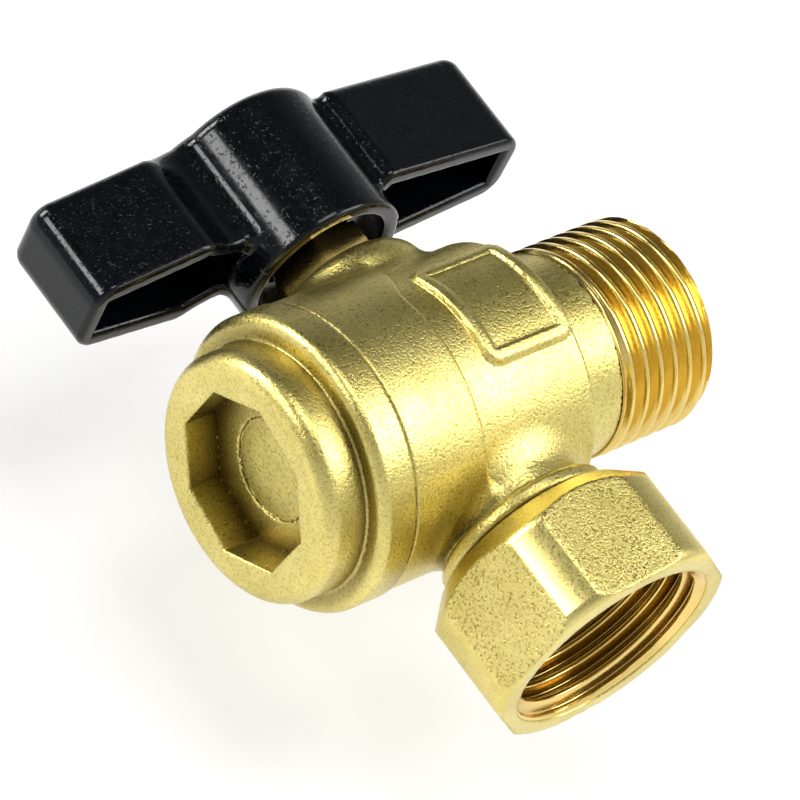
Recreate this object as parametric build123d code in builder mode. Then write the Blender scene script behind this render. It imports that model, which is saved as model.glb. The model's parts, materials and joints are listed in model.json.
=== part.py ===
from build123d import *
import os

# Boiler filling valve: an angle ball valve with a male pipe thread, a swivel nut
# on the branch and a butterfly handle. Millimetres. The origin is on the main axis
# at the root of the male thread, +X points out along that thread and +Z up the stem.

# Inlet: male G 1/2 pipe thread, drawn as a plain cylinder of its outer diameter
THREAD_R = 10.478
THREAD_LENGTH = 12.3
THREAD_CHAMFER = 1.1
NECK_R = 10.15
NECK_LENGTH = 6.0
INLET_BORE_R = 6.5
INLET_MOUTH_CHAMFER = 0.6

# Barrel, measured along the main axis from the centre of the ball
BALL_TO_NECK = 9.1
BALL_TO_STEP = 5.1
BALL_TO_JOINT = 13.8
FRONT_BARREL_R = 13.3
STEP_HEIGHT = 0.9
STEP_ROUND = 0.35
STEP_LEAN = 2.4
STEP_LEAN_FROM = 4.0
STEP_LEAN_TO = 11.0
BARREL_END_ROUND = 0.6

# Raised marking pad on the side of the barrel
PAD_LENGTH = 10.2
PAD_HEIGHT = 12.6
PAD_SETBACK = 0.4
PAD_RISE = 0.5
PAD_CENTRE_Z = 1.7
PAD_CORNER = 1.4

# Ball, seats and the chamber they sit in
BALL_R = 9.0
PORT_R = 5.0
PORT_POCKET_R = 5.5
CHAMBER_GAP = 1.0
SEAT_FRONT = 5.6
SEAT_BACK = 8.6
SEAT_R = 8.4
SEAT_BORE_R = 5.4
SEAT_CLEARANCE = 0.05

# Stem, its collar and its seals, measured up from the main axis
STEM_R = 3.5
STEM_CLEARANCE = 0.04
COLLAR_R = 4.9
COLLAR_HEIGHT = 1.05
COLLAR_CLEARANCE = 0.15
COLLAR_TO_BALL = 0.35
WASHER_THICKNESS = 0.6
SEAL_WALL = 1.0
ORING_SECTION_R = 0.53
PACKING_HEIGHT = 1.0
TANG_LENGTH = 8.6
TANG_WIDTH = 3.0
TANG_DEPTH = 1.9
TANG_CLEARANCE = 0.1
SQUARE_SIDE = 4.9
SQUARE_CLEARANCE = 0.05

# Stem boss and gland nut
BOSS_R = 8.2
BOSS_RISE = 2.0
BOSS_DOME_WIDTH = 2.8
BOSS_DOME_HEIGHT = 3.0
GLAND_ACROSS_FLATS = 9.2
GLAND_HEAD = 3.3
GLAND_HOLE_GAP = 0.15
THREAD_CLEARANCE = 0.05

# Branch and the ring that keeps the swivel nut on it, measured down from the main axis
BRANCH_R = 7.5
BRANCH_FLARE = 1.1
FLARE_INSET = 0.7
FLARE_HEIGHT = 3.0
SHOULDER_GAP = 0.4
SHOULDER_OVERHANG = 1.9
SHOULDER_HEIGHT = 1.7
SHOULDER_ROUND = 0.6
TAIL_R = 7.0
TAIL_LIP = 1.2
OUTLET_BORE_R = 5.0
RING_R = 8.5
RING_THICKNESS = 1.0
RING_GROOVE_DEPTH = 0.7
RING_GAP_ANGLE = 24.0

# Swivel nut, female G 1/2 thread drawn as a plain bore of its inner diameter
NUT_ACROSS_FLATS = 24.0
NUT_CORNER_STAND = 0.9
NUT_HEIGHT = 12.8
NUT_WALL = 2.6
NUT_THREAD_R = 9.315
NUT_MOUTH_R = 10.65
NUT_RELIEF_R = 10.0
NUT_RELIEF_GAP = 0.2
NUT_BACK_CHAMFER = 2.8
NUT_FACE_CHAMFER = 0.6
NUT_END_PLAY = 0.3
NUT_RING_PLAY = 0.25
NUT_CLEARANCE = 0.08
NUT_TURN = -7.8

# End plug with its flange, round head and eight-sided key socket
BARREL_WALL = 2.6
PLUG_DEPTH = 6.9
FLANGE_OVERHANG = 0.2
FLANGE_THICKNESS = 4.1
FLANGE_ROUND = 1.1
HEAD_STEP = 2.3
HEAD_LENGTH = 4.7
HEAD_ROUND = 1.7
SOCKET_ACROSS_FLATS = 15.9
SOCKET_DEPTH = 3.8
SOCKET_TURN = 123.2
SOCKET_MARK_R = 5.0
SOCKET_MARK_DEPTH = 0.2
PLUG_RECESS_R = 6.0
PLUG_RECESS_DEPTH = 5.0
PLUG_ORING_SECTION_R = 0.7
PLUG_ORING_CLEARANCE = 0.02
PLUG_ORING_GROOVE = 1.6

# Butterfly handle: a hub sleeve with two hollow wings, open underneath. The wing over
# the plug stands on a waist, the wing over the thread starts beside the hub.
HUB_R = 8.8
HUB_WALL = 1.7
HUB_DROP = 2.0
HUB_RECESS = 8.6
HUB_ROUND = 1.6
HUB_RIM_ROUND = 0.5
WEB_THICKNESS = 5.2
WING_REACH = 26.0
WING_TIP_HALF = 4.1
WING_TAPER = 0.125
WING_RISE = 1.2
WING_HEIGHT = 11.6
WING_WALL = 1.9
WING_CORNER = 2.2
WING_EDGE = 0.8
WING_ROUND = 1.6
REAR_WING_START = 13.0
REAR_WING_SLOPE = 1.9
FRONT_WING_START = 8.2
FRONT_WING_SLOPE = 1.4
WAIST_HALF = 4.3
WAIST_BLEND = 1.1
GROOVE_BLEND = 0.4
GLAND_TO_HANDLE = 0.8

# Handle screw and washers, sunk in the top of the hub
SCREW_R = 2.0
SCREW_LENGTH = 8.0
SCREW_HEAD_R = 3.7
SCREW_HEAD_HEIGHT = 2.6
SCREW_HEAD_ROUND = 1.0
SCREW_CLEARANCE = 0.05
STEM_SHORTFALL = 0.2
WASHER_R = 4.8
WASHER_HOLE_GAP = 0.15
FLAT_WASHER_THICKNESS = 0.8
LOCK_WASHER_R = 3.5
LOCK_WASHER_THICKNESS = 0.9
LOCK_WASHER_GAP = 0.8
WASHER_ROOM = 0.6

# Positions along the main axis
neck_x = -NECK_LENGTH
ball_x = neck_x - BALL_TO_NECK
step_x = ball_x - BALL_TO_STEP
joint_x = ball_x - BALL_TO_JOINT
flange_x = joint_x - FLANGE_THICKNESS
head_x = flange_x - HEAD_LENGTH
chamber_r = BALL_R + CHAMBER_GAP
rear_barrel_r = FRONT_BARREL_R + STEP_HEIGHT
plug_r = rear_barrel_r - BARREL_WALL
flange_r = rear_barrel_r + FLANGE_OVERHANG
head_r = flange_r - HEAD_STEP
shank_end_x = joint_x + PLUG_DEPTH

# Heights along the stem
collar_z = BALL_R + COLLAR_TO_BALL
washer_z = collar_z + COLLAR_HEIGHT
pocket_top_z = washer_z + WASHER_THICKNESS
seal_z = pocket_top_z + SEAL_WALL
packing_z = seal_z + 2 * ORING_SECTION_R
gland_z = packing_z + PACKING_HEIGHT
boss_top_z = FRONT_BARREL_R + BOSS_RISE
boss_top_r = BOSS_R - BOSS_DOME_WIDTH
boss_shoulder_z = boss_top_z - BOSS_DOME_HEIGHT
gland_top_z = boss_top_z + GLAND_HEAD
web_z = gland_top_z + GLAND_TO_HANDLE
web_top_z = web_z + WEB_THICKNESS
stem_top_z = web_top_z - STEM_SHORTFALL
hub_top_z = web_top_z + HUB_RECESS
wing_bottom_z = web_z + WING_RISE
wing_top_z = wing_bottom_z + WING_HEIGHT
rear_root_half = WING_TIP_HALF + WING_TAPER * (WING_REACH - REAR_WING_START)
front_root_half = WING_TIP_HALF + WING_TAPER * (WING_REACH - FRONT_WING_START)
seal_bore_r = STEM_R + STEM_CLEARANCE + 2 * ORING_SECTION_R
slot_z = BALL_R - TANG_DEPTH

# Depths along the branch
flare_end_z = -(FRONT_BARREL_R - FLARE_INSET)
flare_top_z = flare_end_z + FLARE_HEIGHT
shoulder_z = -(rear_barrel_r + SHOULDER_GAP)
shoulder_r = TAIL_R + SHOULDER_OVERHANG
shoulder_end_z = shoulder_z - SHOULDER_HEIGHT
nut_corner_r = NUT_ACROSS_FLATS / 2 + NUT_CORNER_STAND
nut_back_r = nut_corner_r - NUT_BACK_CHAMFER
nut_back_z = shoulder_end_z - NUT_END_PLAY
nut_seat_z = nut_back_z - NUT_WALL
nut_face_z = nut_back_z - NUT_HEIGHT
ring_z = nut_seat_z - NUT_RING_PLAY
tail_z = ring_z - RING_THICKNESS - TAIL_LIP
relief_z = tail_z - NUT_RELIEF_GAP

# Planes and axis through the centre of the ball
stem_axis = Axis((ball_x, 0, 0), (0, 0, 1))
stem_section = Plane(origin=(ball_x, 0, 0), x_dir=(1, 0, 0), z_dir=(0, -1, 0))


def stem_plane(z):
    """Level plane at height z, centred on the stem."""
    return Plane((ball_x, 0, z))


def cross_plane(x):
    """Plane across the main axis at x, with Y to the right and Z up."""
    return Plane.YZ.offset(x)


os.makedirs("parts", exist_ok=True)

# Marking pad: a rounded rectangle wrapped on the barrel
with BuildPart() as marking_pad:
    with BuildSketch(Plane.XZ):
        with Locations((neck_x - PAD_SETBACK - PAD_LENGTH / 2, PAD_CENTRE_Z)):
            RectangleRounded(PAD_LENGTH, PAD_HEIGHT, PAD_CORNER)
    extrude(amount=FRONT_BARREL_R + 2 * PAD_RISE)
    with BuildSketch(cross_plane(neck_x)):
        Circle(FRONT_BARREL_R + PAD_RISE)
    extrude(amount=-PAD_LENGTH - 2 * PAD_SETBACK, mode=Mode.INTERSECT)

# Rear collar of the barrel, with a front edge that leans forward beside the boss
lean_x = step_x + STEP_LEAN
lean_mid = ((step_x + lean_x) / 2, (STEP_LEAN_FROM + STEP_LEAN_TO) / 2)
with BuildPart() as rear_collar:
    with BuildSketch(cross_plane(joint_x)):
        Circle(rear_barrel_r)
    extrude(amount=lean_x + 1 - joint_x)
    with BuildSketch(Plane.XZ):
        with BuildLine():
            TangentArc((step_x, STEP_LEAN_FROM), lean_mid, tangent=(0, 1))
            TangentArc((lean_x, STEP_LEAN_TO), lean_mid, tangent=(0, -1))
            Polyline(
                (lean_x, STEP_LEAN_TO),
                (lean_x, 2 * rear_barrel_r),
                (joint_x - 1, 2 * rear_barrel_r),
                (joint_x - 1, -2 * rear_barrel_r),
                (step_x, -2 * rear_barrel_r),
                (step_x, STEP_LEAN_FROM),
            )
        make_face()
    extrude(amount=2 * rear_barrel_r, both=True, mode=Mode.INTERSECT)
    front_edges = [e for e in rear_collar.edges() if e.center().X > step_x - 0.5 and e.bounding_box().size.Y > 1]
    fillet(front_edges, STEP_ROUND)

# Valve body: forged barrel with turned ends, stem boss and branch
with BuildPart() as valve_body:
    with BuildSketch(Plane.XY) as barrel:
        with BuildLine():
            Polyline(
                (joint_x, 0),
                (joint_x, FRONT_BARREL_R),
                (neck_x, FRONT_BARREL_R),
                (neck_x, NECK_R),
                (0, NECK_R),
                (0, THREAD_R),
                (THREAD_LENGTH - THREAD_CHAMFER, THREAD_R),
                (THREAD_LENGTH, THREAD_R - THREAD_CHAMFER),
                (THREAD_LENGTH, 0),
                close=True,
            )
        make_face()
        end_corners = barrel.vertices().filter_by_position(Axis.X, neck_x - 0.01, neck_x + 0.01)
        fillet(end_corners.sort_by(Axis.Y)[-1], BARREL_END_ROUND)
    revolve(axis=Axis.X)
    add(rear_collar.part)
    add(marking_pad.part)
    with BuildSketch(stem_section):
        with BuildLine():
            Polyline((0, boss_top_z), (0, 0), (BOSS_R, 0), (BOSS_R, boss_shoulder_z))
            Line((boss_top_r, boss_top_z), (0, boss_top_z))
            TangentArc((boss_top_r, boss_top_z), (BOSS_R, boss_shoulder_z), tangent=(1, 0))
        make_face()
    revolve(axis=stem_axis)
    with BuildSketch(stem_section) as branch:
        with BuildLine():
            Polyline(
                (BRANCH_R, flare_end_z),
                (BRANCH_R, shoulder_z),
                (shoulder_r, shoulder_z),
                (shoulder_r, shoulder_end_z),
                (TAIL_R, shoulder_end_z),
                (TAIL_R, ring_z),
                (TAIL_R - RING_GROOVE_DEPTH, ring_z),
                (TAIL_R - RING_GROOVE_DEPTH, ring_z - RING_THICKNESS),
                (TAIL_R, ring_z - RING_THICKNESS),
                (TAIL_R, tail_z),
                (0, tail_z),
                (0, flare_top_z),
                (BRANCH_R + BRANCH_FLARE, flare_top_z),
            )
            TangentArc((BRANCH_R, flare_end_z), (BRANCH_R + BRANCH_FLARE, flare_top_z), tangent=(0, 1))
        make_face()
        outer_rim = branch.vertices().filter_by_position(Axis.X, shoulder_r - 0.01, shoulder_r + 0.01)
        fillet(outer_rim, SHOULDER_ROUND)
    revolve(axis=stem_axis)
    with BuildSketch(Plane.XY):
        with BuildLine():
            Polyline(
                (joint_x, 0),
                (joint_x, plug_r),
                (shank_end_x, plug_r),
                (shank_end_x, chamber_r),
                (ball_x + SEAT_FRONT, chamber_r),
                (ball_x + SEAT_FRONT, SEAT_R),
                (ball_x + SEAT_BACK, SEAT_R),
                (ball_x + SEAT_BACK, INLET_BORE_R),
                (THREAD_LENGTH - INLET_MOUTH_CHAMFER, INLET_BORE_R),
                (THREAD_LENGTH, INLET_BORE_R + INLET_MOUTH_CHAMFER),
                (THREAD_LENGTH, 0),
                close=True,
            )
        make_face()
    revolve(axis=Axis.X, mode=Mode.SUBTRACT)
    with BuildSketch(stem_section):
        with BuildLine():
            Polyline(
                (0, tail_z),
                (OUTLET_BORE_R, tail_z),
                (OUTLET_BORE_R, 0),
                (COLLAR_R + COLLAR_CLEARANCE, 0),
                (COLLAR_R + COLLAR_CLEARANCE, pocket_top_z),
                (STEM_R + STEM_CLEARANCE, pocket_top_z),
                (STEM_R + STEM_CLEARANCE, seal_z),
                (seal_bore_r, seal_z),
                (seal_bore_r, boss_top_z),
                (0, boss_top_z),
                close=True,
            )
        make_face()
    revolve(axis=stem_axis, mode=Mode.SUBTRACT)
valve_body.part.label = "valve_body"
export_step(valve_body.part, "parts/valve_body.step")

# End plug: turned flange and head, screwed into the rear of the barrel
groove_x = joint_x + PLUG_ORING_GROOVE
with BuildPart() as end_plug:
    with BuildSketch(Plane.XY) as plug_profile:
        with BuildLine():
            Polyline(
                (head_x, 0),
                (head_x, head_r),
                (flange_x, head_r),
                (flange_x, flange_r),
                (joint_x, flange_r),
                (joint_x, plug_r - 2 * PLUG_ORING_SECTION_R),
                (groove_x, plug_r - 2 * PLUG_ORING_SECTION_R),
                (groove_x, plug_r - THREAD_CLEARANCE),
                (shank_end_x, plug_r - THREAD_CLEARANCE),
                (shank_end_x, SEAT_R),
                (ball_x - SEAT_BACK, SEAT_R),
                (ball_x - SEAT_BACK, PLUG_RECESS_R),
                (ball_x - SEAT_BACK - PLUG_RECESS_DEPTH, PLUG_RECESS_R),
                (ball_x - SEAT_BACK - PLUG_RECESS_DEPTH, 0),
                close=True,
            )
        make_face()
        front_corners = plug_profile.vertices().filter_by_position(Axis.X, head_x - 0.01, head_x + 0.01)
        fillet(front_corners.sort_by(Axis.Y)[-1], HEAD_ROUND)
        rim_corners = plug_profile.vertices().filter_by_position(Axis.X, flange_x - 0.01, flange_x + 0.01)
        fillet(rim_corners.sort_by(Axis.Y)[-1], FLANGE_ROUND)
    revolve(axis=Axis.X)
    with BuildSketch(cross_plane(head_x)):
        RegularPolygon(SOCKET_ACROSS_FLATS / 2, 8, major_radius=False, rotation=SOCKET_TURN)
    extrude(amount=SOCKET_DEPTH, mode=Mode.SUBTRACT)
    with BuildSketch(cross_plane(head_x + SOCKET_DEPTH)):
        Circle(SOCKET_MARK_R)
    extrude(amount=SOCKET_MARK_DEPTH, mode=Mode.SUBTRACT)
end_plug.part.label = "end_plug"
export_step(end_plug.part, "parts/end_plug.step")

# O-ring in the groove behind the plug flange
with BuildPart() as plug_oring:
    with BuildSketch(Plane.XY):
        with Locations((joint_x + PLUG_ORING_GROOVE / 2, plug_r - PLUG_ORING_SECTION_R)):
            Circle(PLUG_ORING_SECTION_R - PLUG_ORING_CLEARANCE)
    revolve(axis=Axis.X)
plug_oring.part.label = "plug_oring"
export_step(plug_oring.part, "parts/plug_oring.step")

# Inlet seat: ring with a face hollowed to the ball
with BuildPart() as inlet_seat:
    with BuildSketch(Plane.XY):
        with Locations((ball_x + (SEAT_FRONT + SEAT_BACK) / 2, (SEAT_R + SEAT_BORE_R) / 2)):
            Rectangle(SEAT_BACK - SEAT_FRONT, SEAT_R - SEAT_BORE_R)
        with Locations((ball_x, 0)):
            Circle(BALL_R + SEAT_CLEARANCE, mode=Mode.SUBTRACT)
    revolve(axis=Axis.X)
inlet_seat.part.label = "inlet_seat"
export_step(inlet_seat.part, "parts/inlet_seat.step")

# Rear seat: the same ring, held by the plug
with BuildPart() as rear_seat:
    with BuildSketch(Plane.XY):
        with Locations((ball_x - (SEAT_FRONT + SEAT_BACK) / 2, (SEAT_R + SEAT_BORE_R) / 2)):
            Rectangle(SEAT_BACK - SEAT_FRONT, SEAT_R - SEAT_BORE_R)
        with Locations((ball_x, 0)):
            Circle(BALL_R + SEAT_CLEARANCE, mode=Mode.SUBTRACT)
    revolve(axis=Axis.X)
rear_seat.part.label = "rear_seat"
export_step(rear_seat.part, "parts/rear_seat.step")

# Ball with an L-shaped waterway and a slot for the stem tang
with BuildPart() as ball:
    with Locations((ball_x, 0, 0)):
        Sphere(BALL_R)
    with BuildSketch(cross_plane(ball_x)):
        Circle(PORT_R)
    extrude(amount=BALL_R, mode=Mode.SUBTRACT)
    with BuildSketch(stem_plane(0)):
        Circle(PORT_R)
    extrude(amount=-BALL_R, mode=Mode.SUBTRACT)
    with Locations((ball_x, 0, 0)):
        Sphere(PORT_POCKET_R, mode=Mode.SUBTRACT)
    with BuildSketch(stem_plane(slot_z)):
        Rectangle(2 * BALL_R, TANG_WIDTH + 2 * TANG_CLEARANCE)
    extrude(amount=TANG_DEPTH, mode=Mode.SUBTRACT)
ball.part.label = "ball"
export_step(ball.part, "parts/ball.step")

# Stem: tang, collar, round shaft and square end with a tapped hole
with BuildPart() as stem:
    with BuildSketch(stem_plane(slot_z + TANG_CLEARANCE)):
        Rectangle(TANG_LENGTH, TANG_WIDTH)
    extrude(amount=collar_z - slot_z - TANG_CLEARANCE)
    with BuildSketch(stem_plane(collar_z)):
        Circle(COLLAR_R)
    extrude(amount=COLLAR_HEIGHT)
    with BuildSketch(stem_plane(washer_z)):
        Circle(STEM_R)
    extrude(amount=web_z - washer_z)
    with BuildSketch(stem_plane(web_z)):
        Rectangle(SQUARE_SIDE, SQUARE_SIDE)
    extrude(amount=stem_top_z - web_z)
    with BuildSketch(stem_plane(stem_top_z)):
        Circle(SCREW_R + SCREW_CLEARANCE)
    extrude(amount=-SCREW_LENGTH, mode=Mode.SUBTRACT)
stem.part.label = "stem"
export_step(stem.part, "parts/stem.step")

# Thrust washer between the stem collar and the body
with BuildPart() as thrust_washer:
    with BuildSketch(stem_plane(washer_z)):
        Circle(COLLAR_R)
        Circle(STEM_R + STEM_CLEARANCE, mode=Mode.SUBTRACT)
    extrude(amount=WASHER_THICKNESS)
thrust_washer.part.label = "thrust_washer"
export_step(thrust_washer.part, "parts/thrust_washer.step")

# Stem O-ring at the bottom of the seal bore
with BuildPart() as stem_oring:
    with BuildSketch(stem_section):
        with Locations((STEM_R + STEM_CLEARANCE + ORING_SECTION_R, seal_z + ORING_SECTION_R)):
            Circle(ORING_SECTION_R)
    revolve(axis=stem_axis)
stem_oring.part.label = "stem_oring"
export_step(stem_oring.part, "parts/stem_oring.step")

# Packing ring pressed down by the gland nut
with BuildPart() as stem_packing:
    with BuildSketch(stem_plane(packing_z)):
        Circle(seal_bore_r)
        Circle(STEM_R + STEM_CLEARANCE, mode=Mode.SUBTRACT)
    extrude(amount=PACKING_HEIGHT)
stem_packing.part.label = "stem_packing"
export_step(stem_packing.part, "parts/stem_packing.step")

# Gland nut: hexagon head over a short threaded shank
with BuildPart() as gland_nut:
    with BuildSketch(stem_plane(gland_z)):
        Circle(seal_bore_r - THREAD_CLEARANCE)
    extrude(amount=boss_top_z - gland_z)
    with BuildSketch(stem_plane(boss_top_z)):
        RegularPolygon(GLAND_ACROSS_FLATS / 2, 6, major_radius=False)
    extrude(amount=GLAND_HEAD)
    with BuildSketch(stem_plane(gland_z)):
        Circle(STEM_R + GLAND_HOLE_GAP)
    extrude(amount=gland_top_z - gland_z, mode=Mode.SUBTRACT)
gland_nut.part.label = "gland_nut"
export_step(gland_nut.part, "parts/gland_nut.step")

# Handle: tapered wings blended into a round hub, hollowed from below
wing_outline = [
    (-WING_REACH, WING_TIP_HALF),
    (-REAR_WING_START, rear_root_half),
    (-REAR_WING_START + REAR_WING_SLOPE, WAIST_HALF),
    (FRONT_WING_START - FRONT_WING_SLOPE, WAIST_HALF),
    (FRONT_WING_START, front_root_half),
    (WING_REACH, WING_TIP_HALF),
]
wing_outline += [(x, -y) for x, y in reversed(wing_outline)]
with BuildPart() as handle:
    with BuildSketch(stem_plane(wing_bottom_z)) as wing_plan:
        with BuildLine():
            Polyline(wing_outline, close=True)
        make_face()
        fillet([v for v in wing_plan.vertices() if abs(v.X) > WING_REACH - 0.1], WING_CORNER)
        fillet([v for v in wing_plan.vertices() if WAIST_HALF + 0.5 < abs(v.Y)], WING_EDGE)
        fillet([v for v in wing_plan.vertices() if abs(v.X + REAR_WING_START - REAR_WING_SLOPE) < 0.1], WAIST_BLEND)
        Circle(HUB_R)
        hub_corners = [v for v in wing_plan.vertices() if abs(v.X**2 + v.Y**2 - HUB_R**2) < 0.01]
        fillet([v for v in hub_corners if v.X < 0], WAIST_BLEND)
        fillet([v for v in hub_corners if v.X > 0], GROOVE_BLEND)
    extrude(amount=WING_HEIGHT)
    fillet(handle.faces().sort_by(Axis.Z)[-1].outer_wire().edges(), WING_ROUND)
    with BuildSketch(stem_plane(wing_bottom_z)):
        with BuildLine():
            Polyline(wing_outline, close=True)
        make_face()
        offset(amount=-WING_WALL, kind=Kind.INTERSECTION, mode=Mode.REPLACE)
        Circle(HUB_R, mode=Mode.SUBTRACT)
    extrude(amount=WING_HEIGHT - WING_WALL, mode=Mode.SUBTRACT)
    with BuildSketch(stem_section) as hub_profile:
        with BuildLine():
            Polyline(
                (0, web_z - HUB_DROP),
                (HUB_R, web_z - HUB_DROP),
                (HUB_R, hub_top_z),
                (0, hub_top_z),
                close=True,
            )
        make_face()
        rim = hub_profile.vertices().filter_by_position(Axis.X, HUB_R - 0.01, HUB_R + 0.01)
        fillet(rim.sort_by(Axis.Y)[-1], HUB_ROUND)
        fillet(rim.sort_by(Axis.Y)[0], HUB_RIM_ROUND)
    revolve(axis=stem_axis)
    with BuildSketch(stem_plane(web_z - HUB_DROP)):
        Circle(HUB_R - HUB_WALL)
    extrude(amount=HUB_DROP, mode=Mode.SUBTRACT)
    with BuildSketch(stem_plane(web_z)):
        Rectangle(SQUARE_SIDE + 2 * SQUARE_CLEARANCE, SQUARE_SIDE + 2 * SQUARE_CLEARANCE)
    extrude(amount=WEB_THICKNESS, mode=Mode.SUBTRACT)
    with BuildSketch(stem_plane(web_top_z)):
        Circle(WASHER_R + WASHER_ROOM)
    extrude(amount=HUB_RECESS, mode=Mode.SUBTRACT)
handle.part.label = "handle"
export_step(handle.part, "parts/handle.step")

# Flat washer on the handle web
with BuildPart() as flat_washer:
    with BuildSketch(stem_plane(web_top_z)):
        Circle(WASHER_R)
        Circle(SCREW_R + WASHER_HOLE_GAP, mode=Mode.SUBTRACT)
    extrude(amount=FLAT_WASHER_THICKNESS)
flat_washer.part.label = "flat_washer"
export_step(flat_washer.part, "parts/flat_washer.step")

# Split lock washer on the flat washer
lock_washer_z = web_top_z + FLAT_WASHER_THICKNESS
with BuildPart() as lock_washer:
    with BuildSketch(stem_plane(lock_washer_z)):
        Circle(LOCK_WASHER_R)
        Circle(SCREW_R + WASHER_HOLE_GAP, mode=Mode.SUBTRACT)
        with Locations((LOCK_WASHER_R / 2, 0)):
            Rectangle(LOCK_WASHER_R, LOCK_WASHER_GAP, mode=Mode.SUBTRACT)
    extrude(amount=LOCK_WASHER_THICKNESS)
lock_washer.part.label = "lock_washer"
export_step(lock_washer.part, "parts/lock_washer.step")

# Pan head screw through the washers into the stem
screw_seat_z = lock_washer_z + LOCK_WASHER_THICKNESS
with BuildPart() as handle_screw:
    with BuildSketch(stem_section) as screw_profile:
        with BuildLine():
            Polyline(
                (0, stem_top_z - SCREW_LENGTH),
                (SCREW_R, stem_top_z - SCREW_LENGTH),
                (SCREW_R, screw_seat_z),
                (SCREW_HEAD_R, screw_seat_z),
                (SCREW_HEAD_R, screw_seat_z + SCREW_HEAD_HEIGHT),
                (0, screw_seat_z + SCREW_HEAD_HEIGHT),
                close=True,
            )
        make_face()
        crown = screw_profile.vertices().filter_by_position(Axis.X, SCREW_HEAD_R - 0.01, SCREW_HEAD_R + 0.01)
        fillet(crown.sort_by(Axis.Y)[-1], SCREW_HEAD_ROUND)
    revolve(axis=stem_axis)
handle_screw.part.label = "handle_screw"
export_step(handle_screw.part, "parts/handle_screw.step")

# Swivel nut: hexagon with turned corners, coned back and a bored thread
with BuildPart() as swivel_nut:
    with BuildSketch(stem_plane(nut_back_z)):
        RegularPolygon(NUT_ACROSS_FLATS / 2, 6, major_radius=False, rotation=NUT_TURN)
    extrude(amount=-NUT_HEIGHT)
    with BuildSketch(stem_section):
        with BuildLine():
            Polyline(
                (0, nut_back_z),
                (nut_back_r, nut_back_z),
                (nut_corner_r, nut_back_z - NUT_BACK_CHAMFER),
                (nut_corner_r, nut_face_z + NUT_FACE_CHAMFER),
                (nut_corner_r - NUT_FACE_CHAMFER, nut_face_z),
                (0, nut_face_z),
                close=True,
            )
        make_face()
    revolve(axis=stem_axis, mode=Mode.INTERSECT)
    with BuildSketch(stem_section):
        with BuildLine():
            Polyline(
                (0, nut_back_z),
                (TAIL_R + NUT_CLEARANCE, nut_back_z),
                (TAIL_R + NUT_CLEARANCE, nut_seat_z),
                (NUT_RELIEF_R, nut_seat_z),
                (NUT_RELIEF_R, relief_z),
                (NUT_THREAD_R, relief_z),
                (NUT_THREAD_R, nut_face_z + NUT_MOUTH_R - NUT_THREAD_R),
                (NUT_MOUTH_R, nut_face_z),
                (0, nut_face_z),
                close=True,
            )
        make_face()
    revolve(axis=stem_axis, mode=Mode.SUBTRACT)
swivel_nut.part.label = "swivel_nut"
export_step(swivel_nut.part, "parts/swivel_nut.step")

# Split retaining ring in the groove of the branch tail
with BuildPart() as nut_ring:
    with BuildSketch(stem_section):
        with BuildLine():
            Polyline(
                (TAIL_R - RING_GROOVE_DEPTH, ring_z),
                (RING_R, ring_z),
                (RING_R, ring_z - RING_THICKNESS),
                (TAIL_R - RING_GROOVE_DEPTH, ring_z - RING_THICKNESS),
                close=True,
            )
        make_face()
    revolve(axis=stem_axis, revolution_arc=360 - RING_GAP_ANGLE)
nut_ring.part.label = "nut_ring"
export_step(nut_ring.part, "parts/nut_ring.step")
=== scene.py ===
import json
import math
import bpy
import numpy as np
from mathutils import Matrix, Vector


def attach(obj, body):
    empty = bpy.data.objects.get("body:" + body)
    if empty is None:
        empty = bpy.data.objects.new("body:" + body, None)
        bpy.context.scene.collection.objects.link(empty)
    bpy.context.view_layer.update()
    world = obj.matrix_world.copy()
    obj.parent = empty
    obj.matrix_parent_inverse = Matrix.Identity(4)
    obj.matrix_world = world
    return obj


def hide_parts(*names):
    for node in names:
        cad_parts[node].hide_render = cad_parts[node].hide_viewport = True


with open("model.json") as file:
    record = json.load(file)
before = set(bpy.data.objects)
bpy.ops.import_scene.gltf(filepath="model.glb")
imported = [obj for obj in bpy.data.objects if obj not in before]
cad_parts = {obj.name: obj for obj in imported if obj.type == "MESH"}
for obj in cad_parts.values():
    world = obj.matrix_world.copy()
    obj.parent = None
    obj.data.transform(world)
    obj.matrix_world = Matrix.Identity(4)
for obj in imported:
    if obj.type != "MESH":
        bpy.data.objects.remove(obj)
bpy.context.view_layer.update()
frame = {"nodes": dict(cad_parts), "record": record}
nodes = frame["nodes"]
scene = bpy.context.scene
scene.view_settings.view_transform = "Standard"

# Sizes in millimetres, in a local frame with the centre of the ball as its origin.
MM = 0.001
BALL_X = -15.1                                   # ball centre in the part's frame
LOCAL = np.array([BALL_X, 0, 0])

REAR_R, FRONT_R = 14.2, 13.3                     # the body's two barrels
STEP_X, STEP_LEAN = -5.1, 2.4                    # step between them, leaning forward beside the boss
JOINT_X = -13.8                                  # joint between body and plug
PAD_MIDDLE, PAD_HALF = (3.6, 1.7), (5.1, 6.3)    # marking pad, along X and Z
PAD_R, PAD_RIM_R, PAD_RIM = 13.55, 13.9, 0.6     # its field, its raised border, half the border's width
BOSS_R, BOSS_TOP = 8.2, 15.3
BRANCH_R, BRANCH_END = 7.5, -14.6
NECK_R = 10.15
THREAD_R, THREAD_ROOT, THREAD_CORE = 10.478, 9.32, 8.8
THREAD_X, THREAD_LEN, THREAD_CHAMFER, PITCH = 15.1, 12.3, 1.1, 1.814
HEAD_R, HEAD_X = 12.1, -22.6                     # the plug's head and flange
FLANGE_R, FLANGE_X = 14.4, -17.9
SOCKET_APOTHEM, SOCKET_CORNER, SOCKET_FLOOR = 7.95, 123.2, -18.8
MARK_R = 5.0                                     # round mark on the socket's floor
NUT_APOTHEM, NUT_CORNER, NUT_TURNED_R = 12.0, -7.8, 12.9
NUT_BACK, NUT_FACE = -16.6, -29.4
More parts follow.
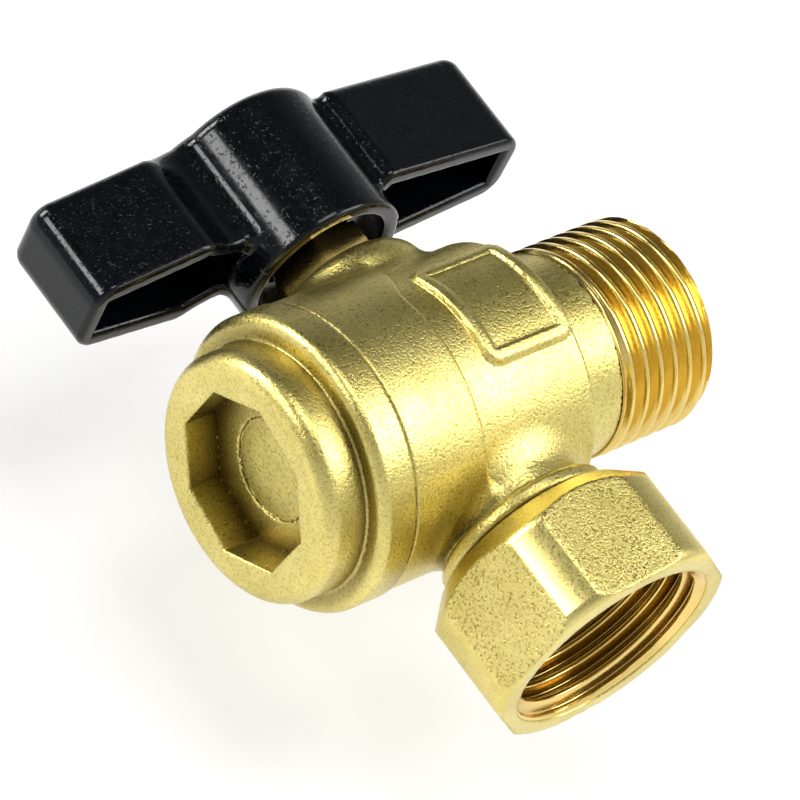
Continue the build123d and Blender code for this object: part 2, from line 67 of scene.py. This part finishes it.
NUT_THREAD_R, NUT_THREAD_DEPTH, NUT_THREAD_WALL = 9.315, 1.1, 10.75
NUT_THREAD_Z, NUT_MOUTH_R = (-29.2, -21.87), 10.65
HUB_R, HUB_LOW, HUB_TOP = 8.8, 17.4, 33.2        # the handle's hub and wings
WING_REACH, WING_TIP_HALF, WING_TAPER = 26.0, 4.1, 0.125
WING_LOW, WING_TOP, WING_WALL = 20.6, 32.2, 1.9
WAIST_HALF = 4.3
SLOPE_45 = 0.7071


# Distance functions

def radial(a, b):
    return np.sqrt(a * a + b * b)


def drum(axial, rho, a0, a1, r, high=0.0):
    """Cylinder along an axis from a0 to a1, with its upper edge rounded by high."""
    d = np.maximum(np.maximum(rho - r, a0 - axial), axial - a1)
    return np.maximum(d, meet(rho - r, axial - a1, high)) if high else d


def meet(a, b, r):
    """Intersection with a rounded edge of radius r."""
    u, v = np.maximum(r + a, 0), np.maximum(r + b, 0)
    return np.minimum(-r, np.maximum(a, b)) + np.sqrt(u * u + v * v)


def join(a, b, r):
    """Union with a hollow fillet of radius r."""
    u, v = np.maximum(r - a, 0), np.maximum(r - b, 0)
    return np.maximum(r, np.minimum(a, b)) - np.sqrt(u * u + v * v)


def cut(a, b, r=0.0):
    """a without b, with the rim rounded by r."""
    return meet(a, -b, r) if r else np.maximum(a, -b)


def polygon(u, v, apothem, sides, corner):
    """Regular polygon with one corner at the angle corner, in degrees."""
    d = np.full_like(u, -1e9)
    for k in range(sides):
        t = math.radians(corner) + math.pi / sides + 2 * math.pi * k / sides
        d = np.maximum(d, u * math.cos(t) + v * math.sin(t) - apothem)
    return d


def smooth(t):
    t = np.clip(t, 0, 1)
    return t * t * (3 - 2 * t)


def body_field(x, y, z):
    yz, xy = radial(y, z), radial(x, y)
    # barrels and the step between them
    step = STEP_X + STEP_LEAN * smooth((z - 4.0) / 7.0)
    rear = meet(meet(yz - REAR_R, x - step, 0.35), JOINT_X - x, 0.25)
    d = join(rear, drum(x, yz, -9.0, 9.1, FRONT_R, high=0.6), 0.12)
    # pad with a raised border
    u, v = np.abs(x - PAD_MIDDLE[0]) - PAD_HALF[0], np.abs(z - PAD_MIDDLE[1]) - PAD_HALF[1]
    plan = np.maximum(meet(u, v, 1.4), y + 4.0)
    d = join(d, meet(plan, yz - PAD_R, 0.2), 0.2)
    d = join(d, meet(np.abs(plan + PAD_RIM) - PAD_RIM, yz - PAD_RIM_R, 0.3), 0.25)
    # stem boss, branch with its flange and ring groove, neck and core of the thread
    d = join(d, drum(z, xy, 0.0, BOSS_TOP, BOSS_R, high=2.8), 1.0)
    d = join(d, drum(-z, xy, 0.0, -BRANCH_END, BRANCH_R), 1.8)
    d = join(d, meet(meet(xy - 8.9, -16.3 - z, 0.6), z - BRANCH_END, 0.6), 0.3)
    d = np.minimum(d, drum(-z, xy, 14.0, 21.65, 7.0))
    d = cut(d, np.maximum(np.abs(z + 19.95) - 0.5, 6.3 - xy))
    d = join(d, drum(x, yz, 5.0, THREAD_X, NECK_R), 0.35)
    d = np.minimum(d, drum(x, yz, 5.0, 27.3, 9.0))
    # inside: plug bore, chamber, seat, waterways, stem bore and gland recess
    for a0, a1, r in ((-14.0, -6.9, 11.6), (-7.0, 5.6, 10.0), (5.0, 8.6, 8.4)):
        d = cut(d, drum(x, yz, a0, a1, r))
    mouth = np.maximum(yz - 7.1 - (x - 27.4), x - 29.0)
    d = cut(d, np.minimum(drum(x, yz, 8.0, 29.0, 6.5), mouth))
    d = cut(d, drum(-z, xy, 0.0, 23.0, 5.0))
    for a0, a1, r in ((0.0, 11.0, 5.05), (10.0, 13.0, 3.54)):
        d = cut(d, drum(z, xy, a0, a1, r))
    return cut(d, drum(z, xy, 12.0, 17.0, 4.6), 0.2)


def plug_field(x, y, z):
    yz = radial(y, z)
    head = np.maximum(meet(yz - HEAD_R, HEAD_X - x, 1.7), x + 14.0)
    flange = meet(meet(yz - FLANGE_R, FLANGE_X - x, 1.1), x - JOINT_X, 0.25)
    d = join(head, flange, 0.2)
    # spigot with the O-ring's groove, rear seat and hollow
    d = np.minimum(d, np.maximum(np.maximum(yz - 11.55, x + 6.9), -16.0 - x))
    d = cut(d, np.maximum(np.maximum(10.2 - yz, JOINT_X - x), x + 12.2))
    d = cut(d, drum(x, yz, -8.6, -6.0, 8.4))
    d = cut(d, drum(x, yz, -13.6, -8.0, 6.0))
    # eight-sided socket with a round mark on its floor
    d = cut(d, np.maximum(polygon(y, z, SOCKET_APOTHEM, 8, SOCKET_CORNER), x - SOCKET_FLOOR), 0.3)
    mark = np.maximum(yz - MARK_R, np.maximum(x - SOCKET_FLOOR - 0.2, -19.5 - x))
    return cut(d, mark, 0.1)


def nut_field(x, y, z):
    xy = radial(x, y)
    d = polygon(x, y, NUT_APOTHEM, 6, NUT_CORNER)
    turned = meet(xy - NUT_TURNED_R, (xy - 12.3 - (z - NUT_FACE)) * SLOPE_45, 0.3)
    turned = meet(turned, (xy - 10.1 - (NUT_BACK - z)) * SLOPE_45, 0.5)
    d = meet(d, turned, 0.1)
    d = meet(d, NUT_FACE - z, 0.2)
    d = meet(d, z - NUT_BACK, 0.3)
    bore = np.maximum(xy - 10.6, z + 21.85)
    bore = np.minimum(bore, np.maximum(xy - 10.0, z + 19.2))
    bore = np.minimum(bore, xy - 7.08)
    return cut(d, bore, 0.15)


def wing_plan(x, y):
    """Outline of the wings from above: sides, tips and inner ends, with a waist on the plug's side."""
    ay = np.abs(y)
    side = (ay - WING_TIP_HALF - WING_TAPER * (WING_REACH - np.abs(x))) * 0.9923
    waist = ay - WAIST_HALF
    rear = 0.6 * (x + 13.0) + 0.8 * (ay - 5.725)
    front = -0.8225 * (x - 8.2) + 0.5687 * (ay - 6.325)
    inner = np.where(x < 0, join(rear, waist, 1.1), join(front, waist, 0.3))
    return side, np.abs(x) - WING_REACH, inner


def handle_field(x, y, z):
    xy = radial(x, y)
    side, tip, inner = wing_plan(x, y)
    plan = meet(meet(side, inner, 0.8), tip, 2.2)
    top = WING_TOP + 0.9 * smooth((x + 13.5) / 6.0) * (x < 0)
    wing = meet(meet(plan, z - top, 1.6), WING_LOW - z, 0.6)
    hub = meet(meet(xy - HUB_R, z - HUB_TOP, 1.6), HUB_LOW - z, 0.5)
    d = join(wing, hub, 1.0)
    # hollow wings, room for the gland, square for the stem and recess for the screw
    shell = np.maximum(np.maximum(side, tip), inner) + WING_WALL
    d = cut(d, np.maximum(shell, np.maximum(z - 30.3, HUB_R - xy)), 0.6)
    d = cut(d, np.maximum(xy - 7.1, z - 19.4), 0.5)
    d = cut(d, np.maximum(np.maximum(np.abs(x), np.abs(y)) - 2.5, z - 25.0))
    d = cut(d, np.maximum(xy - 5.4, 24.6 - z), 0.4)
    return np.maximum(d, z - HUB_TOP)


# Meshing of a distance function: one vertex per crossed cell, placed on its sharp or smooth feature

def gradient(field, p, e=0.01):
    g = np.empty_like(p)
    for a in range(3):
        s = np.zeros(3)
        s[a] = e
        g[:, a] = field(*(p + s).T) - field(*(p - s).T)
    return g / np.maximum(np.linalg.norm(g, axis=1), 1e-12)[:, None]


def contour(field, lo, hi, h):
    """Vertices and quads of the zero surface of field in the box lo to hi, with cells of size h."""
    n = [int(math.ceil((b - a) / h)) + 1 for a, b in zip(lo, hi)]
    axes = [a + h * np.arange(m) for a, m in zip(lo, n)]
    grid = np.meshgrid(*axes, indexing="ij")
    value = field(*grid)
    inside = value < 0
    cells = tuple(m - 1 for m in n)
    ata = np.zeros((int(np.prod(cells)), 6))
    atb = np.zeros((ata.shape[0], 3))
    mass = np.zeros((ata.shape[0], 3))
    count = np.zeros(ata.shape[0])
    quads = []
    for a in range(3):
        # points where the surface crosses the grid's edges along this axis
        low = [slice(None)] * 3
        high = [slice(None)] * 3
        low[a], high[a] = slice(0, -1), slice(1, None)
        crossing = np.argwhere(inside[tuple(low)] != inside[tuple(high)])
        i0 = tuple(crossing.T)
        step = np.zeros(3, int)
        step[a] = 1
        i1 = tuple((crossing + step).T)
        v0, v1 = value[i0], value[i1]
        t = v0 / (v0 - v1)
        p = np.array(lo) + h * crossing.astype(float)
        p[:, a] += h * t
        for _ in range(2):
            slope = (field(*(p + step * 0.005).T) - field(*(p - step * 0.005).T)) / 0.01
            ok = np.abs(slope) > 0.2
            shift = np.where(ok, field(*p.T) / np.where(ok, slope, 1), 0)
            p[:, a] -= np.clip(shift, -0.3 * h, 0.3 * h)
        g = gradient(field, p)
        # the four cells around each such edge make a quad, and share its tangent plane
        b, c = (a + 1) % 3, (a + 2) % 3
        around = []
        for db, dc in ((0, 0), (-1, 0), (-1, -1), (0, -1)):
            cell = crossing.copy()
            cell[:, b] += db
            cell[:, c] += dc
            around.append(cell)
        fit = np.all([np.all((q >= 0) & (q < np.array(cells)), axis=1) for q in around], axis=0)
        ids = [np.ravel_multi_index(tuple(q[fit].T), cells) for q in around]
        g, p, out = g[fit], p[fit], inside[i0][fit]
        rhs = np.sum(g * p, axis=1)
        outer = np.stack([g[:, 0] ** 2, g[:, 0] * g[:, 1], g[:, 0] * g[:, 2],
                          g[:, 1] ** 2, g[:, 1] * g[:, 2], g[:, 2] ** 2], axis=1)
        for q in ids:
            for k in range(6):
                ata[:, k] += np.bincount(q, outer[:, k], ata.shape[0])
            for k in range(3):
                atb[:, k] += np.bincount(q, g[:, k] * rhs, ata.shape[0])
                mass[:, k] += np.bincount(q, p[:, k], ata.shape[0])
            count += np.bincount(q, minlength=ata.shape[0])
        quad = np.stack(ids, axis=1)
        quads.append(np.where(out[:, None], quad, quad[:, ::-1]))
    # least squares point of the tangent planes in each cell
    used = np.nonzero(count)[0]
    m = mass[used] / count[used, None]
    a3 = ata[used][:, [0, 1, 2, 1, 3, 4, 2, 4, 5]].reshape(-1, 3, 3)
    rest = atb[used] - np.einsum("nij,nj->ni", a3, m)
    shift = np.linalg.solve(a3 + 0.08 * np.eye(3), rest[:, :, None])[:, :, 0]
    corner = np.array(lo) + h * np.stack(np.unravel_index(used, cells), axis=1)
    verts = np.clip(m + shift, corner - 0.1 * h, corner + 1.1 * h)
    index = np.full(ata.shape[0], -1)
    index[used] = np.arange(len(used))
    return verts, index[np.concatenate(quads)]


def corner_normals(field, verts, faces):
    """Normals of the faces' corners, from the field: smooth on rounded edges, split on sharp ones."""
    quad = verts[faces]
    near = 0.75 * quad + 0.25 * quad.mean(axis=1, keepdims=True)
    own = gradient(field, near.reshape(-1, 3), 0.015)
    at = gradient(field, verts, 0.015)[faces].reshape(-1, 3)
    keep = np.sum(own * at, axis=1) > 0.965
    return np.where(keep[:, None], at, own)


def new_object(name, verts, faces, body, material, replaced=None, sharp=60, normals=None):
    """Mesh object from vertices in the local frame, in millimetres."""
    mesh = bpy.data.meshes.new(name)
    verts = (np.asarray(verts, float) + LOCAL) * MM
    mesh.from_pydata(verts.tolist(), [], [list(map(int, f)) for f in faces])
    mesh.validate()
    mesh.shade_smooth()
    if normals is None:
        mesh.set_sharp_from_angle(angle=math.radians(sharp))
    else:
        mesh.normals_split_custom_set(normals.tolist())
    obj = bpy.data.objects.new(name, mesh)
    scene.collection.objects.link(obj)
    obj.data.materials.append(material)
    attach(obj, body)
    if replaced:
        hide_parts(replaced)
    return obj


def shaped(name, field, box, h, body, material, node):
    """Piece on the zero surface of a field, in the place of a CAD node."""
    verts, faces = contour(field, *box, h)
    normals = corner_normals(field, verts, faces)
    return new_object(name, verts, faces, body, material, node, normals=normals)


def thread_form(phase):
    """Rounded pipe thread profile: 0 at the root, 1 at the crest."""
    t = np.abs(((phase + 0.5) % 1.0) - 0.5) * 2
    return 1 - smooth((t - 0.14) / 0.72)


def tube_mesh(outer, inner):
    """Closed ring from two grids of points (stations along the axis by points around it)."""
    rows, cols = outer.shape[:2]
    verts = np.concatenate([outer.reshape(-1, 3), inner.reshape(-1, 3)])
    shift = rows * cols
    faces = []
    for i in range(rows - 1):
        for j in range(cols):
            k = (j + 1) % cols
            near, far = i * cols, (i + 1) * cols
            faces.append((near + j, near + k, far + k, far + j))
            faces.append((shift + far + j, shift + far + k, shift + near + k, shift + near + j))
    for i, flip in ((0, True), (rows - 1, False)):
        for j in range(cols):
            k = (j + 1) % cols
            f = (i * cols + j, i * cols + k, shift + i * cols + k, shift + i * cols + j)
            faces.append(f[::-1] if flip else f)
    return verts, faces


def one_turn(cols):
    """Row of equally spaced angles."""
    return np.linspace(0, 2 * math.pi, cols, endpoint=False)[None, :]


def male_thread():
    ang = one_turn(128)
    end = THREAD_X + THREAD_LEN
    x = np.linspace(THREAD_X + 0.02, end, 150)[:, None]
    form = thread_form((x - THREAD_X) / PITCH - ang / (2 * math.pi))
    grow = smooth((x - THREAD_X) / 1.6)
    r = THREAD_R - (THREAD_R - THREAD_ROOT) * (1 - form) * (0.25 + 0.75 * grow)
    r = np.minimum(r, THREAD_R - THREAD_CHAMFER + (end - x))
    core = np.full_like(r, THREAD_CORE)
    rings = [np.stack([x + 0 * ang, q * np.cos(ang), q * np.sin(ang)], axis=2) for q in (r, core)]
    return tube_mesh(*rings)


def nut_thread():
    ang = one_turn(112)
    z = np.linspace(*NUT_THREAD_Z, 100)[:, None]
    form = thread_form(z / PITCH + ang / (2 * math.pi))
    r = NUT_THREAD_R + NUT_THREAD_DEPTH * (1 - form)
    r = np.maximum(r, NUT_MOUTH_R - (z - NUT_FACE))
    wall = np.full_like(r, NUT_THREAD_WALL)
    rings = [np.stack([q * np.cos(ang), q * np.sin(ang), z + 0 * ang], axis=2) for q in (wall, r)]
    return tube_mesh(*rings)


# Materials

def tree(name):
    m = bpy.data.materials.new(name)
    m.use_nodes = True
    t = m.node_tree
    t.nodes.clear()
    out = t.nodes.new("ShaderNodeOutputMaterial")
    bsdf = t.nodes.new("ShaderNodeBsdfPrincipled")
    t.links.new(bsdf.outputs[0], out.inputs[0])
    coord = t.nodes.new("ShaderNodeTexCoord").outputs["Object"]
    return m, t, bsdf, coord


def feed(t, socket, value):
    """A number goes on the socket itself, a node's output is linked to it."""
    if isinstance(value, (int, float)):
        socket.default_value = value
    else:
        t.links.new(value, socket)


def noise(t, coord, scale, detail=4.0, rough=0.55):
    n = t.nodes.new("ShaderNodeTexNoise")
    n.inputs["Scale"].default_value = scale
    n.inputs["Detail"].default_value = detail
    n.inputs["Roughness"].default_value = rough
    t.links.new(coord, n.inputs["Vector"])
    return n.outputs["Fac"]


def ramp(t, fac, stops):
    r = t.nodes.new("ShaderNodeValToRGB")
    e = r.color_ramp.elements
    while len(e) < len(stops):
        e.new(0.5)
    for el, (pos, col) in zip(e, stops):
        el.position = pos
        el.color = col if len(col) == 4 else (*col, 1)
    t.links.new(fac, r.inputs[0])
    return r.outputs[0]


def grey(v):
    return (v, v, v, 1)


def math_node(t, op, *values):
    n = t.nodes.new("ShaderNodeMath")
    n.operation = op
    for socket, v in zip(n.inputs, values):
        feed(t, socket, v)
    return n.outputs[0]


def bump(t, height, strength, distance, normal=None):
    b = t.nodes.new("ShaderNodeBump")
    feed(t, b.inputs["Strength"], strength)
    b.inputs["Distance"].default_value = distance
    t.links.new(height, b.inputs["Height"])
    if normal is not None:
        t.links.new(normal, b.inputs["Normal"])
    return b.outputs[0]


def mix_colour(t, kind, fac, a, b):
    n = t.nodes.new("ShaderNodeMix")
    n.data_type = "RGBA"
    n.blend_type = kind
    feed(t, n.inputs["Factor"], fac)
    t.links.new(a, n.inputs["A"])
    t.links.new(b, n.inputs["B"])
    return n.outputs["Result"]


WHITE = (1.0, 1.0, 1.0)
# the first colour is the dark brown of painted shade in corners and along joints, the second the colour
# of the pits
SHADE_BROWN, PIT = (0.10, 0.06, 0.015), (0.25, 0.16, 0.04)
PIT_SCALE, SPECK_SCALE = 3600, 3000


def painted_shade(t, reach, shut, free):
    """Painted shade from ambient occlusion: white in the open, dark brown in corners and along joints.
    """
    ao = t.nodes.new("ShaderNodeAmbientOcclusion")
    ao.samples = 8
    ao.inputs["Distance"].default_value = reach
    return ramp(t, ao.outputs["AO"], [(shut, SHADE_BROWN), (free, WHITE)])


def brass(name, low, high, r0, r1, grain, depth, pits=0.0, spots=0.0, reach=0.0015,
          shut=0.2, free=0.85, where=None):
    """Brass with a fine grain, dark pits and painted shade in its corners.

    where names a face attribute: 1 where the surface is as blasted, 0 where it is turned smooth.
    """
    m, t, bsdf, co = tree(name)
    bsdf.inputs["Metallic"].default_value = 1.0
    broad = noise(t, co, 160, 3)
    fine = noise(t, co, grain, 3, 0.6)
    halves = [math_node(t, "MULTIPLY", n, 0.5) for n in (broad, fine)]
    mixed = math_node(t, "ADD", *halves)
    colour = ramp(t, mixed, [(0.3, low), (0.7, high)])
    share = 1.0
    if where:
        mark = t.nodes.new("ShaderNodeAttribute")
        mark.attribute_name = where
        share = math_node(t, "MULTIPLY_ADD", mark.outputs["Fac"], 0.95, 0.05)
        spots = math_node(t, "MULTIPLY", share, spots)
    normal = bump(t, fine, share, depth)
    if pits:
        hole = noise(t, co, PIT_SCALE, 2.0, 0.55)
        dark = ramp(t, hole, [(0.33, PIT), (0.48, WHITE)])
        colour = mix_colour(t, "MULTIPLY", spots, colour, dark)
        normal = bump(t, ramp(t, hole, [(0.34, grey(0)), (0.50, grey(1))]), share, pits, normal)
    # painted shade: the colour darkens where ambient occlusion finds corners, creases, joints and bores
    colour = mix_colour(t, "MULTIPLY", 0.9, colour, painted_shade(t, reach, shut, free))
    t.links.new(colour, bsdf.inputs["Base Color"])
    t.links.new(ramp(t, fine, [(0.3, grey(r0)), (0.7, grey(r1))]), bsdf.inputs["Roughness"])
    t.links.new(normal, bsdf.inputs["Normal"])
    return m


def plain(name, low, high, r0, r1, scale, depth, metallic=0.0, specular=0.5, specks=0.0):
    """Finish with one grain; specks is the height of fine raised grains on it."""
    m, t, bsdf, co = tree(name)
    bsdf.inputs["Metallic"].default_value = metallic
    bsdf.inputs["Specular IOR Level"].default_value = specular
    f = noise(t, co, scale, 4)
    t.links.new(ramp(t, f, [(0.3, low), (0.7, high)]), bsdf.inputs["Base Color"])
    t.links.new(ramp(t, f, [(0.3, grey(r0)), (0.7, grey(r1))]), bsdf.inputs["Roughness"])
    normal = bump(t, f, 1.0, depth)
    if specks:
        grains = ramp(t, noise(t, co, SPECK_SCALE, 2.0, 0.5), [(0.60, grey(0)), (0.74, grey(1))])
        normal = bump(t, grains, 1.0, specks, normal)
    t.links.new(normal, bsdf.inputs["Normal"])
    return m


FORGED_LOW, FORGED_HIGH = (0.56, 0.46, 0.12), (0.86, 0.74, 0.27)
forged = brass("forged_brass", FORGED_LOW, FORGED_HIGH, 0.26, 0.40, 3600, 0.00004, 0.00001, 0.25)
# the forged brass again, with deeper painted shade that reaches 6 mm into the socket and its corners
socket = brass("plug_brass_deep_shade", FORGED_LOW, FORGED_HIGH, 0.24, 0.38, 3600, 0.00003, 0.00001, 0.2,
               reach=0.006, shut=0.45, free=0.97)
turned = brass("turned_brass", (0.70, 0.50, 0.13), (0.88, 0.68, 0.24), 0.14, 0.24, 5200, 0.00001,
               reach=0.0006)
# a lighter copy of the turned brass: painted light inside the nut's bore, with less painted shade
lit_bore = brass("bore_brass_painted_light", (0.76, 0.53, 0.15), (0.94, 0.72, 0.26), 0.16, 0.26, 5200, 0.00001,
              reach=0.0012)
blasted = brass("nut_brass", (0.60, 0.49, 0.13), (0.90, 0.77, 0.29), 0.24, 0.38, 4200, 0.00003,
                0.00003, 0.65, where="flats")
lacquer = plain("black_lacquer", (0.0010, 0.0014, 0.0022), (0.0026, 0.0034, 0.0050), 0.09, 0.18, 900,
                0.000008, specular=0.30, specks=0.000016)
steel = plain("zinc_steel", (0.52, 0.52, 0.54), (0.70, 0.70, 0.71), 0.25, 0.38, 3000, 0.00001, 1.0)
chrome = plain("plated_ball", (0.74, 0.74, 0.76), (0.82, 0.82, 0.84), 0.05, 0.09, 2000, 0.000002, 1.0)
seal = plain("white_seal", (0.84, 0.84, 0.82), (0.92, 0.92, 0.90), 0.40, 0.55, 2500, 0.00001)
rubber = plain("black_rubber", (0.012, 0.012, 0.012), (0.025, 0.025, 0.025), 0.50, 0.70, 3000, 0.00001)

by_slot = {"forged_brass": forged, "turned_brass": turned, "plated_ball": chrome, "white_seal": seal,
           "black_rubber": rubber, "black_handle": lacquer, "zinc_steel": steel}
for part in frame["record"]["subparts"]:
    obj = nodes[part["node"]]
    obj.data.materials.clear()
    obj.data.materials.append(by_slot[part["material_slot"]])

# Pieces that stand for the main solids, each with the box and the cell size of its mesh

body_piece = shaped("forged_body", body_field, ((-14.5, -15.0, -22.4), (27.8, 15.0, 16.6)), 0.33,
                    "body", forged, "valve_body")

plug_piece = shaped("socket_plug", plug_field, ((-23.1, -14.9, -14.9), (-6.5, 14.9, 14.9)), 0.28,
                    "body", socket, "end_plug")

nut_piece = shaped("hexagon_nut", nut_field, ((-13.4, -13.4, -29.9), (13.4, 13.4, -16.1)), 0.25,
                   "nut", blasted, "swivel_nut")
# The six flats stay as blasted, the corners, cones and end face are turned smooth
middle = np.empty(len(nut_piece.data.polygons) * 3)
nut_piece.data.polygons.foreach_get("center", middle)
middle = middle.reshape(-1, 3) / MM - LOCAL
flat = np.abs(polygon(middle[:, 0], middle[:, 1], NUT_APOTHEM, 6, NUT_CORNER)) < 0.06
flats = nut_piece.data.attributes.new("flats", "FLOAT", "FACE")
flats.data.foreach_set("value", flat.astype(np.float32))

handle_piece = shaped("butterfly_handle", handle_field, ((-26.5, -9.4, 16.9), (26.5, 9.4, 33.7)), 0.28,
                      "handle", lacquer, "handle")

# Threads
inlet_piece = new_object("inlet_thread", *male_thread(), "body", turned)
nut_thread_piece = new_object("nut_thread", *nut_thread(), "nut", lit_bore)

# Camera at the photograph's angle
CAMERA_RIGHT, CAMERA_AHEAD = (0.7554, -0.3264, -0.5681), (0.5786, 0.7393, 0.3446)
CAMERA_X, CAMERA_Y, CAMERA_Z = -323.92, -411.01, -189.87
camera = bpy.data.objects.new("camera", bpy.data.cameras.new("camera"))
scene.collection.objects.link(camera)
right = Vector(CAMERA_RIGHT).normalized()
ahead = Vector(CAMERA_AHEAD).normalized()
up = right.cross(ahead).normalized()
right = ahead.cross(up).normalized()
stand = Vector((CAMERA_X + BALL_X, CAMERA_Y, CAMERA_Z)) * MM
camera.matrix_world = Matrix(((right.x, up.x, -ahead.x, stand.x),
                              (right.y, up.y, -ahead.y, stand.y),
                              (right.z, up.z, -ahead.z, stand.z),
                              (0, 0, 0, 1)))
camera.data.lens = 270
camera.data.sensor_width = 36
camera.data.clip_start = 0.01
camera.data.clip_end = 50
scene.camera = camera

# Floor: a white table behind the valve, clear of the turned handle and seen through from behind
FLOOR_HALF, FLOOR_Y = 3.0, 0.0266                # in metres
FLOOR_GREY, FLOOR_GLOW = 0.64, 0.4
mesh = bpy.data.meshes.new("floor")
corners = [(x * FLOOR_HALF, FLOOR_Y, z * FLOOR_HALF) for x, z in ((-1, -1), (1, -1), (1, 1), (-1, 1))]
mesh.from_pydata(corners, [], [(0, 1, 2, 3)])
floor = bpy.data.objects.new("floor", mesh)
scene.collection.objects.link(floor)
m = bpy.data.materials.new("white_table")
m.use_nodes = True
t = m.node_tree
t.nodes.clear()
out = t.nodes.new("ShaderNodeOutputMaterial")
diffuse = t.nodes.new("ShaderNodeBsdfDiffuse")
diffuse.inputs[0].default_value = grey(FLOOR_GREY)
glow = t.nodes.new("ShaderNodeEmission")
path = t.nodes.new("ShaderNodeLightPath")
seen = math_node(t, "MAXIMUM", path.outputs["Is Camera Ray"], path.outputs["Is Transmission Ray"])
seen = math_node(t, "MAXIMUM", seen, path.outputs["Is Glossy Ray"])
t.links.new(math_node(t, "MULTIPLY", seen, FLOOR_GLOW), glow.inputs[1])
lit = t.nodes.new("ShaderNodeAddShader")
t.links.new(diffuse.outputs[0], lit.inputs[0])
t.links.new(glow.outputs[0], lit.inputs[1])
clear = t.nodes.new("ShaderNodeBsdfTransparent")
mix = t.nodes.new("ShaderNodeMixShader")
geo = t.nodes.new("ShaderNodeNewGeometry")
t.links.new(geo.outputs["Backfacing"], mix.inputs[0])
t.links.new(lit.outputs[0], mix.inputs[1])
t.links.new(clear.outputs[0], mix.inputs[2])
t.links.new(mix.outputs[0], out.inputs[0])
mesh.materials.append(m)

# World: a pale room, darker above and beside the camera
DARK_SIDE = (0.0, -0.8, 0.6)
ROOM = [(0.35, grey(0.90)), (0.55, grey(0.55)), (0.78, grey(0.26)), (0.90, grey(0.10))]
world = bpy.data.worlds.new("room")
scene.world = world
world.use_nodes = True
t = world.node_tree
t.nodes.clear()
out = t.nodes.new("ShaderNodeOutputWorld")
room = t.nodes.new("ShaderNodeBackground")
coord = t.nodes.new("ShaderNodeTexCoord").outputs["Generated"]
dot = t.nodes.new("ShaderNodeVectorMath")
dot.operation = "DOT_PRODUCT"
dot.inputs[1].default_value = DARK_SIDE
t.links.new(coord, dot.inputs[0])
height = math_node(t, "MULTIPLY_ADD", dot.outputs["Value"], 0.5, 0.5)
t.links.new(ramp(t, height, ROOM), room.inputs[0])
t.links.new(room.outputs[0], out.inputs[0])

# Lamps: square areas that face the ball, with their place and side in metres and their power in watts
centre = Vector((BALL_X * MM, 0, 0))
for name, place, side, watts in (("key", (0.304, -0.40, -0.198), 0.30, 1.8),
                                 ("left", (-0.265, -0.20, 0.45), 0.20, 2.0),
                                 ("front", (-0.413, -0.32, 0.19), 0.14, 0.8),
                                 ("over", (0.005, -0.49, 0.05), 0.20, 0.75)):
    light = bpy.data.lights.new(name, "AREA")
    light.shape = "SQUARE"
    light.size = side
    light.energy = watts
    lamp = bpy.data.objects.new(name, light)
    scene.collection.objects.link(lamp)
    lamp.location = place
    lamp.rotation_euler = (centre - Vector(place)).to_track_quat("-Z", "Y").to_euler()
